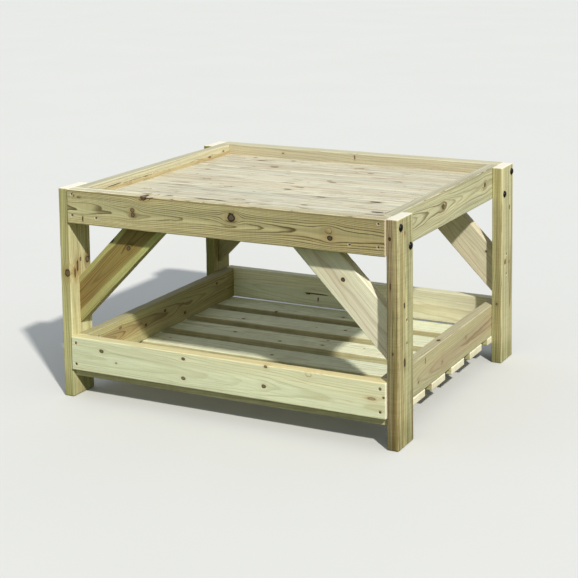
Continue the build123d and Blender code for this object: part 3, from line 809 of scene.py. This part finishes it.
POST = dict(Early=(0.56, 0.53, 0.315), Late=(0.31, 0.25, 0.12))
board("post_front_right", 2, 0, style(**POST, Ring=0.0030, Pith=(0.012, -0.030), Tilt=(0.012, 0.006), Wobble=0.004, Saw=0.5, Dash=0.7, DashCol=(0.11, 0.075, 0.035), Wear=1.0, Var=4.4),
      [K(489, -424, 541, "y", 3.8, 1.3, 1.0, 0.7), K(511, -385, 365, "x", 4.4, 1.7, 1.0, 1.0), K(511, -384, 219, "x", 5.6, 2.0, 1.0, 1.0), K(511, -380, 549, "x", 3.0, 1.4, 0.35, 1.0, 0.3),
       K(496, -424, 250, "y", 2.2, 1.6, 0.6, 0.6), K(490, -424, 420, "y", 2.0, 5.0, 0.7, 0.4)],
      {"all": (1.12, 1.12, 1.08), "-y": (0.635, 0.620, 0.505), "grad-y": (1.08, 1.03, 1.15), "strips": [("-y", 2, -0.001, 0.0225, (0.83, 0.79, 0.84)), ("-y", 2, 0.0255, 0.0335, (1.30, 1.32, 1.24)), ("-y", 0, 0.10, 0.43, (0.945, 0.950, 0.935)), ("-y", 0, 0.13, 0.40, (0.945, 0.950, 0.935)), ("-y", 0, 0.16, 0.37, (0.945, 0.950, 0.935)), ("-y", 0, 0.20, 0.34, (0.945, 0.950, 0.935))], "grad+x": (0.86, 0.87, 0.85), "+z": (1.00, 1.03, 1.10)}, holes=auto_holes("post_front_right"),
      checks=[dict(w=0.047, l0=0.33, l1=0.52, side=1, depth=0.0022), dict(w=0.030, l0=0.10, l1=0.20, side=1, depth=0.0014)])
board("post_front_left", 2, 0, style(**POST, Ring=0.0034, Pith=(-0.012, 0.040), Tilt=(0.01, 0.012), Wobble=0.006, Saw=0.2, Dash=0.45, Contrast=0.9, Wear=0.8, Var=2.4),
      [K(-488, -424, 352, "y", 9.0, 1.25, 0.8, 1.2, 0.8), K(-479, -344, 374, "x", 9.0, 1.15, 0.85, 1.2, 0.8), K(-479, -376, 382, "x", 3.6, 1.8, 0.9, 0.6, 0.6),
       K(-479, -390, 366, "x", 3.6, 4.6, 1.0, 0.5, 0.9), K(-479, -402, 348, "x", 3.2, 4.4, 1.0, 0.4, 0.9)],
      {"all": (1.02, 1.02, 0.98), "-y": (0.87, 0.89, 0.72), "+x": (1.28, 1.30, 1.28), "+z": (1.10, 1.12, 1.20)}, holes=auto_holes("post_front_left"),
      checks=[dict(w=0.05, l0=0.42, l1=0.50, side=1, depth=0.0018)])
board("post_back_right", 2, 0, style(**POST, Ring=0.0040, Pith=(-0.02, -0.034), Tilt=(0.008, 0.01), Wobble=0.005, Saw=0.35, Dash=0.5, Wear=0.8, Var=2.8),
      [K(511, 393, 462, "x", 3.6, 2.0, 1.0, 0.9, 0.5), K(511, 358, 303, "x", 6.0, 1.3, 0.75, 1.2, 0.7), K(511, 392, 296, "x", 3.2, 1.5, 0.7, 1.0, 0.5), K(495, 329, 180, "y", 3, 1.4, 0.6)],
      {"all": (1.26, 1.27, 1.30), "-y": (0.80, 0.82, 0.71), "+z": (1.04, 1.06, 1.14)}, holes=auto_holes("post_back_right"))
# the front (-y) and inner (+x) faces are painted dark and brown: painted shade from the deck and rail above
board("post_back_left", 2, 0, style(**POST, Ring=0.0044, Pith=(0.01, 0.05), Tilt=(-0.01, 0.012), Wobble=0.006, Saw=0.2, Var=1.3),
      [K(-479, 352, 420, "x", 5, 1.3, 0.8), K(-511, 372, 300, "x", 5, 1.4, 0.7)],
      {"all": (0.95, 0.93, 0.84), "-y": (0.45, 0.465, 0.235), "+x": (0.74, 0.70, 0.52), "+z": (1.06, 1.09, 1.15)}, holes=auto_holes("post_back_left"))

# the front face is painted lighter and greener towards the upper end (grad-y), which lies in the shade under the rail:
# painted light
board("brace_front_left", 0, 1, style(Early=(0.435, 0.415, 0.200), Late=(0.20, 0.155, 0.065), Heart=(0.230, 0.158, 0.060), Ring=0.0023, Pith=(0.004, -0.012), Tilt=(-0.004, 0.012),
                                      RHeart=0.0405, Wobble=0.008, Contrast=1.3, Dash=0.3, DashCol=(0.14, 0.09, 0.045), Saw=0.10, Var=1.6),
      [K(-311, -385, 430, "y", 5.6, 1.25, 1.0, 1.1, 0.5), K(-366, -385, 450, "y", 7.5, 1.0, 0.95, 0.9, 0.5), K(-400, -385, 276, "y", 3.2, 1.2, 0.5)],
      {"all": (0.96, 0.925, 0.81), "grad-y": (1.42, 1.70, 1.55)}, holes=auto_holes("brace_front_left"), brace=True)
# the front face is painted darker towards the upper end (grad-y), where the rail's shade falls: painted shade
board("brace_front_right", 0, 1, style(Early=(0.91, 0.88, 0.69), Late=(0.76, 0.70, 0.51), Heart=(0.88, 0.81, 0.64), Ring=0.0036, Pith=(-0.010, 0.029), Tilt=(0.010, 0.012),
                                       RHeart=0.047, Wobble=0.008, Contrast=0.75, Dash=0.2, DashCol=(0.50, 0.40, 0.26), Saw=0.05, Var=1.2),
      [K(341, -385, 413, "y", 6.0, 1.0, 1.0, 1.0, 0.45)],
      {"all": (1.03, 1.03, 1.02), "grad-y": (0.84, 0.84, 0.77)}, holes=auto_holes("brace_front_right"), brace=True)
# the front face (-y) is painted darker: painted shade under the deck
board("brace_back_left", 0, 1, style(**TAN, Pith=(0.01, -0.045), Tilt=(0.0, 0.01)), [K(-300, 385, 400, "y", 4, 1.2, 0.8)],
      {"all": (0.9, 0.87, 0.78), "-y": (0.62, 0.60, 0.46)}, holes=auto_holes("brace_back_left"), brace=True)
board("brace_back_right", 0, 1, style(Early=(0.66, 0.59, 0.42), Late=(0.42, 0.335, 0.215), Ring=0.0038, Pith=(-0.008, 0.06), Tilt=(0.0, 0.014), Contrast=0.7, Dash=0.4, DashCol=(0.28, 0.20, 0.12)),
      [K(452, 353, 330, "y", 3.4, 1.2, 0.7), K(330, 353, 430, "y", 2.4, 3.4, 0.6, 0.6)],
      {"all": (1.14, 1.16, 1.19)}, holes=auto_holes("brace_back_right"), brace=True)

board("tray_board_front", 0, 1, style(**PALE, Ring=0.0038, Pith=(0.012, 0.040), Tilt=(0.02, 0.012), Wobble=0.008, Contrast=0.75, Dash=0.3, DashCol=(0.44, 0.38, 0.23), Saw=0.05, Rough=0.60, Var=1.1),
      [K(-378, -430, 145, "y", 5.2, 1.4, 0.75, 1.4, 0.2), K(-114, -430, 159, "y", 4.8, 1.3, 0.8, 1.4, 0.2), K(-115, -430, 105, "y", 5.2, 1.4, 0.6, 1.4, 0.2), K(137, -430, 171.5, "y", 3.6, 1.5, 0.75),
       K(131, -430, 118, "y", 5.8, 1.2, 0.7, 1.5, 0.25), K(440, -430, 130, "y", 4, 3.0, 0.15, 0.9, 0.7, 0.7), K(473, -430, 137, "y", 3.0, 1.2, 0.9), K(-330, -430, 118, "y", 2.2, 1.5, 0.4), K(262, -430, 168, "y", 7, 1.3, 0.1, 1.0, 0.2, 0.2)],
      {"all": (1.05, 1.08, 1.10), "grad-y": (1.10, 1.08, 1.07), "+z": (1.10, 0.98, 0.84)}, holes=auto_holes("tray_board_front"))
# the inner face (-y) is painted lighter, less so towards its right end where the sun reaches it: painted light on a
# face that lies in shade
board("tray_board_back", 0, 1, style(**PALE, Pith=(0.01, -0.09), Tilt=(0.01, 0.014), Wobble=0.007, Contrast=0.7),
      [K(-142, 398, 121, "y", 2.2, 20.0, 1.0, 0.1, 0.2), K(-136, 398, 104, "y", 7, 0.4, 0.9, 0.4, 0.2), K(-172, 398, 119, "y", 2.6, 3.0, 1.0, 0.4), K(2, 398, 120, "y", 3.6, 1.4, 0.6), K(150, 430, 120, "y", 7, 1.2, 0.75)], {"all": (1.12, 1.12, 1.16), "-y": (1.42, 1.42, 1.52), "grad-y": (0.76, 0.72, 0.74), "+z": (1.12, 1.12, 1.2)}, holes=auto_holes("tray_board_back"),
      checks=[dict(w=0.041, l0=0.285, l1=0.400, side=-1, depth=0.0040)])
# the inner face (+x) and the top (+z) are painted darker towards the back end (grad+x, grad+z), and the top darker
# overall: painted shade where the deck shades the tray
board("tray_board_left", 1, 0, style(Early=(0.57, 0.53, 0.285), Late=(0.27, 0.215, 0.095), Heart=(0.40, 0.31, 0.15), RHeart=0.036, Ring=0.0030, Pith=(0.004, 0.05), Tilt=(0.01, 0.018), Wobble=0.012, Contrast=1.0, Dash=0.3, Var=1.2),
      [K(-447, -113, 124, "x", 4.6, 1.3, 0.95), K(-447, -11, 139, "x", 4.6, 1.3, 0.9), K(-447, 99, 104, "x", 4.6, 1.3, 0.9), K(-447, 290, 150, "x", 4, 1.3, 0.8), K(-447, -242, 150, "x", 4.0, 1.6, 0.5),
       K(-479, 80, 120, "x", 6, 1.2, 0.8)],
      {"all": (1, 1, 1), "+x": (1.12, 1.12, 1.12), "grad+x": (0.53, 0.50, 0.37), "+z": (0.86, 0.88, 0.96), "grad+z": (0.62, 0.61, 0.58), "-x": (1.1, 1.12, 1.15)}, holes=auto_holes("tray_board_left"))
board("tray_board_right", 1, 0, style(Early=(0.57, 0.52, 0.325), Late=(0.36, 0.285, 0.155), Heart=(0.52, 0.42, 0.27), RHeart=0.050, Ring=0.0037, Pith=(-0.006, -0.03), Tilt=(0.012, 0.022), Wobble=0.012, Contrast=0.8, Dash=0.3, Var=1.15),
      [K(465, -51, 175, "z", 5.0, 1.7, 1.0, 0.8, 0.4), K(479, -175, 156, "x", 9, 0.22, 0.95, 0.2, 0.3), K(479, -58, 116, "x", 4.6, 1.2, 0.55, 1.0, 0.4, 0.45), K(479, -223, 112, "x", 3.0, 1.2, 0.5), K(479, 120, 135, "x", 4, 1.2, 0.4, 1.0, 0.3, 0.4)],
      {"all": (1, 1.02, 1.00), "+z": (0.93, 0.965, 1.05)}, holes=auto_holes("tray_board_right"))
SLAT_KNOTS = {1: [], 2: [], 3: [(-34, -90)], 4: [(-244, 59), (-76, 33), (57, 49)], 5: [(-290, 187), (55, 206)], 6: [(-235, 301), (-10, 324)]}
for k in range(1, 7):
    node = f"tray_slat_{k}"
    lo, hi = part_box(node)
    cy = (lo.y + hi.y) / 2 / MM
    kn = [K(x, y, 80, "z", 4.4, 1.3, 0.85, 1.0, 0.4) for x, y in SLAT_KNOTS[k]]
    kn += [K(rd.uniform(-400, 400), cy + rd.uniform(-36, 36), 80, "z", rd.uniform(1.8, 3.0), rd.uniform(1.0, 2.4), rd.uniform(.4, .8), 1.0, 0.4) for _ in range(2)]
    tone = 1.0 + 0.04 * rd.uniform(-1, 1)
    # the tops (+z) are painted lighter and bluer than the other faces: painted sky light on slats that lie in the
    # deck's shade
    board(node, 0, 2, style(Early=(0.65, 0.645, 0.45), Late=(0.44, 0.40, 0.235), Ring=0.0042, Pith=(rd.uniform(-0.03, 0.03), rd.uniform(-0.07, -0.03)), Tilt=(rd.uniform(-0.02, 0.02), rd.uniform(-0.02, 0.02)),
                            Wobble=0.008, Contrast=0.85, Dash=0.35, Saw=0.1, Var=1.1), kn,
          {"all": (tone * 1.05, tone * 0.98, tone * 0.82), "+z": (tone * 1.36, tone * 1.44, tone * 1.60), "+x": (1.15, 1.15, 1.08), "-x": (1.0, 1.0, 1.0)}, arris=0.0025, holes=auto_holes(node), slot="slat_timber")

missing = [n for n in NODES if n not in BOARDS and n not in FIX and n not in ("bolt_washers", "bolt_nuts")]
if missing:
    raise SystemExit(f"no look for {missing}")

for seed, (node, b) in enumerate(BOARDS.items(), 1):
    b["knots"] = [k for k in b["knots"] if k["c"] > 0]
    bumps = []
    for k in b["knots"]:
        l, w, t = b["bd"].local(k["at"])
        on_wide = min(abs(t), abs(t - b["bd"].size[2])) < 0.002
        if on_wide and k["r"] >= 0.0044 and 0.7 < k["s"] < 1.5 and not b["bd"].taper:
            bumps.append((l, w, k["r"]))
    ob = make_board(b["bd"], b["arris"], seed, holes=b["holes"], checks=b["checks"], bumps=bumps, warp=b["warp"], rows=b["rows"])
    dress(ob, b["bd"], b["st"], b["knots"], seed * 1.37, b["tones_and_painted_light"], b["arris"])
    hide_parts(node)
    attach(ob, "root")

# ------------------------------------------------------------------ fixings
BLACK = metal_material("black_coach_head", (0.006, 0.006, 0.006), 0.0, 0.20, 0.25, (0.016, 0.014, 0.012))
SCREW = metal_material("passivated_screw", (0.62, 0.53, 0.34), 0.30, 0.50, 0.5, (0.42, 0.34, 0.20))
# near-black metal for the screws' cross recesses: painted shade in the recess
RECESS_SHADE = metal_material("screw_recess_painted_shade", (0.022, 0.018, 0.014), 0.4, 0.60, 0.6, (0.10, 0.075, 0.045))
ZINC = metal_material("bright_zinc", (0.60, 0.60, 0.58), 1.0, 0.36, 0.5, (0.42, 0.42, 0.40))


def finish_fix(bm, node, mats, smooth=30):
    bmesh.ops.recalc_face_normals(bm, faces=bm.faces)
    me = bpy.data.meshes.new(node + "_detail")
    bm.to_mesh(me)
    bm.free()
    for mat in mats:
        me.materials.append(mat)
    me.shade_smooth()
    me.set_sharp_from_angle(angle=math.radians(smooth))
    ob = bpy.data.objects.new(node + "_detail", me)
    bpy.context.scene.collection.objects.link(ob)
    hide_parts(node)
    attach(ob, "root")
    return ob


def screw_into(bm, f, turn):
    """A countersunk wood screw with a cross recess, head face at f['face'], shank running inwards."""
    n = f["normal"].normalized()
    side = n.orthogonal().normalized()
    up = n.cross(side)
    c, s = math.cos(turn), math.sin(turn)
    ex, ey = side * c + up * s, up * c - side * s
    R, length, seg = f["r"], f["length"], 32
    radii = [0.0, 0.16, 0.30, 0.42, 0.52, 0.60, 0.68, 0.84, 0.965]
    rings = []
    for q in radii:
        ring = []
        for k in range(1 if q == 0 else seg):
            a = 2 * math.pi * k / seg
            x, y = q * R * math.cos(a), q * R * math.sin(a)
            cross = min(abs(x), abs(y)) < 0.15 * R and max(abs(x), abs(y)) < 0.60 * R
            depth = 0.0
            if cross:
                depth = -0.0021 * (1 - 0.55 * max(abs(x), abs(y)) / (0.60 * R))
            if q == 0:
                depth = -0.0023
            ring.append(bm.verts.new(f["face"] + ex * x + ey * y + n * depth))
        rings.append(ring)
    for q, h in ((1.0, -0.00025), (0.97, -0.0007), (0.62, -0.0030), (0.50, -0.0042)):
        rings.append([bm.verts.new(f["face"] + ex * (q * R * math.cos(2 * math.pi * k / seg)) + ey * (q * R * math.sin(2 * math.pi * k / seg)) + n * h) for k in range(seg)])
    # threaded shank: a fine helix-like run of crests, tapered to a point
    h, crest = 0.0060, True
    while h < length - 0.007:
        q = 0.50 if crest else 0.36
        rings.append([bm.verts.new(f["face"] + ex * (q * R * math.cos(2 * math.pi * k / seg)) + ey * (q * R * math.sin(2 * math.pi * k / seg)) - n * (h + 0.0026 * k / seg * 0)) for k in range(seg)])
        h += 0.0016
        crest = not crest
    rings.append([bm.verts.new(f["face"] + ex * (0.30 * R * math.cos(2 * math.pi * k / seg)) + ey * (0.30 * R * math.sin(2 * math.pi * k / seg)) - n * (length - 0.006)) for k in range(seg)])
    rings.append([bm.verts.new(f["face"] - n * (length - 0.0002))])
    for a, b in zip(rings[:-1], rings[1:]):
        for k in range(seg):
            k2 = (k + 1) % seg
            # the head centre and the cross recess take the near-black metal: painted shade
            if len(a) == 1 and a is rings[0]:
                bm.faces.new((a[0], b[k], b[k2])).material_index = 1
            elif len(a) == 1:
                bm.faces.new((a[0], b[k], b[k2]))
            elif len(b) == 1:
                bm.faces.new((a[k2], a[k], b[0]))
            else:
                face = bm.faces.new((a[k], b[k], b[k2], a[k2]))
                if b in rings[:7] and min((v.co - f["face"]).dot(n) for v in face.verts) < -0.0004:
                    face.material_index = 1


for node in WOOD_SCREWS:
    bm = bmesh.new()
    rs = random.Random(node)
    for f in FIX[node]:
        screw_into(bm, f, rs.uniform(0, math.pi / 2))
    finish_fix(bm, node, (SCREW, RECESS_SHADE), 28)

for node in ("coach_screws", "coach_bolts"):
    bm = bmesh.new()
    for f in FIX[node]:
        R = f["r"]
        n = f["normal"]
        H = 0.0055
        prof = [(0.0, 0.0)]
        for a in range(6, 91, 7):  # crowned head with a short upright rim
            t = math.radians(a)
            prof.append((R * 0.985 * math.sin(t), -(H - 0.0009) * (1 - math.cos(t))))
        prof += [(R, -(H - 0.0006)), (R, -H + 0.00015), (R * 0.97, -H), (R * 0.36, -H), (R * 0.36, -(f["length"] - 0.006)), (R * 0.10, -(f["length"] - 0.0004)), (0.0, -(f["length"] - 0.0003))]
        lathe_into(bm, prof, f["face"], n, 48)
    finish_fix(bm, node, (BLACK,), 40)

for node in ("bolt_washers", "bolt_nuts"):
    o = NODES[node]
    o.data.materials.clear()
    o.data.materials.append(ZINC)

# -------------------------------------------------------------------- stage
bm = bmesh.new()
bmesh.ops.create_grid(bm, x_segments=48, y_segments=48, size=45)
me = bpy.data.meshes.new("floor")
bm.to_mesh(me)
bm.free()
floor = bpy.data.objects.new("floor", me)
floor.location = (0, 0, -0.0004)
bpy.context.scene.collection.objects.link(floor)
fm = bpy.data.materials.new("pale_floor")
fm.use_nodes = True
fg = G(fm.node_tree)
fb = fm.node_tree.nodes["Principled BSDF"]
fn = fg.noise(fg.node("ShaderNodeTexCoord").outputs["Object"], scale=1.3, detail=3)
seen = fg.node("ShaderNodeLightPath").outputs["Is Camera Ray"]
fg.put(fb.inputs["Base Color"], fg.mix(seen, (0.120, 0.135, 0.070), fg.mix(fn, (0.69, 0.70, 0.685), (0.73, 0.735, 0.72))))
fg.put(fb.inputs["Roughness"], 0.85)
fg.put(fb.inputs["Specular IOR Level"], 0.15)
me.materials.append(fm)

scene = bpy.context.scene
world = bpy.data.worlds.new("studio")
scene.world = world
world.use_nodes = True
wg = G(world.node_tree)
bg = world.node_tree.nodes["Background"]
# soft overhead light that falls off towards the horizon; the camera sees an even pale backdrop
up = wg.split(wg.node("ShaderNodeTexCoord").outputs["Generated"])[2]
glow = wg.mix(wg.step(up, 0.02, 0.22), (0.15, 0.165, 0.11), (0.475, 0.505, 0.54))
wg.put(bg.inputs[0], wg.mix(wg.node("ShaderNodeLightPath").outputs["Is Camera Ray"], glow, (0.845, 0.855, 0.835)))
bg.inputs[1].default_value = 1.0

sun = bpy.data.lights.new("key", "SUN")
sun.energy = 3.4
sun.angle = math.radians(2.5)
sun.color = (1.0, 0.965, 0.90)
so = bpy.data.objects.new("key", sun)
to_sun = Vector((0.88, -0.77, 1.0)).normalized()
so.rotation_mode = "QUATERNION"
so.rotation_quaternion = to_sun.to_track_quat("Z", "Y")
so.location = to_sun * 5
scene.collection.objects.link(so)

scene.view_settings.view_transform = "Standard"
scene.view_settings.look = "None"
scene.view_settings.exposure = 0.0
scene.view_settings.gamma = 1.0

# ------------------------------------------------------------------- camera
F, CX, CY, SIDE = 1401.36, 375.206, 76.900, 578.0
POS = Vector((1.87882, -3.49119, 1.34503))
yaw, pitch, roll = 0.43532, 0.11907, -0.00562
fwd = Vector((-math.sin(yaw) * math.cos(pitch), math.cos(yaw) * math.cos(pitch), -math.sin(pitch)))
right = fwd.cross(Vector((0, 0, 1))).normalized()
upv = right.cross(fwd)
r2 = right * math.cos(roll) + upv * math.sin(roll)
u2 = upv * math.cos(roll) - right * math.sin(roll)
cam = bpy.data.cameras.new("camera")
cam.sensor_fit, cam.sensor_width = "HORIZONTAL", 36.0
cam.lens = F * 36.0 / SIDE
cam.clip_start, cam.clip_end = 0.05, 200
co = bpy.data.objects.new("camera", cam)
m = Matrix((r2, u2, -fwd)).transposed().to_4x4()
m.translation = POS
co.matrix_world = m
scene.collection.objects.link(co)
scene.camera = co
# The photograph's optical axis is off centre. The lens shift holds at this station only, so that every other view is centred.
station = bpy.data.objects.new("camera_station", None)
station.location = POS
scene.collection.objects.link(station)
for prop, value in (("shift_x", 0.5 - CX / SIDE), ("shift_y", (CY - SIDE / 2) / SIDE)):
    fc = cam.driver_add(prop)
    for md in list(fc.modifiers):
        fc.modifiers.remove(md)
    fc.driver.type = "AVERAGE"
    var = fc.driver.variables.new()
    var.type = "LOC_DIFF"
    var.targets[0].id = co
    var.targets[1].id = station
    for x, y in ((-1.0, value), (0.01, 0.0), (1.0, 0.0)):
        kp = fc.keyframe_points.insert(x, y)
        kp.interpolation = "CONSTANT"

bpy.context.view_layer.update()
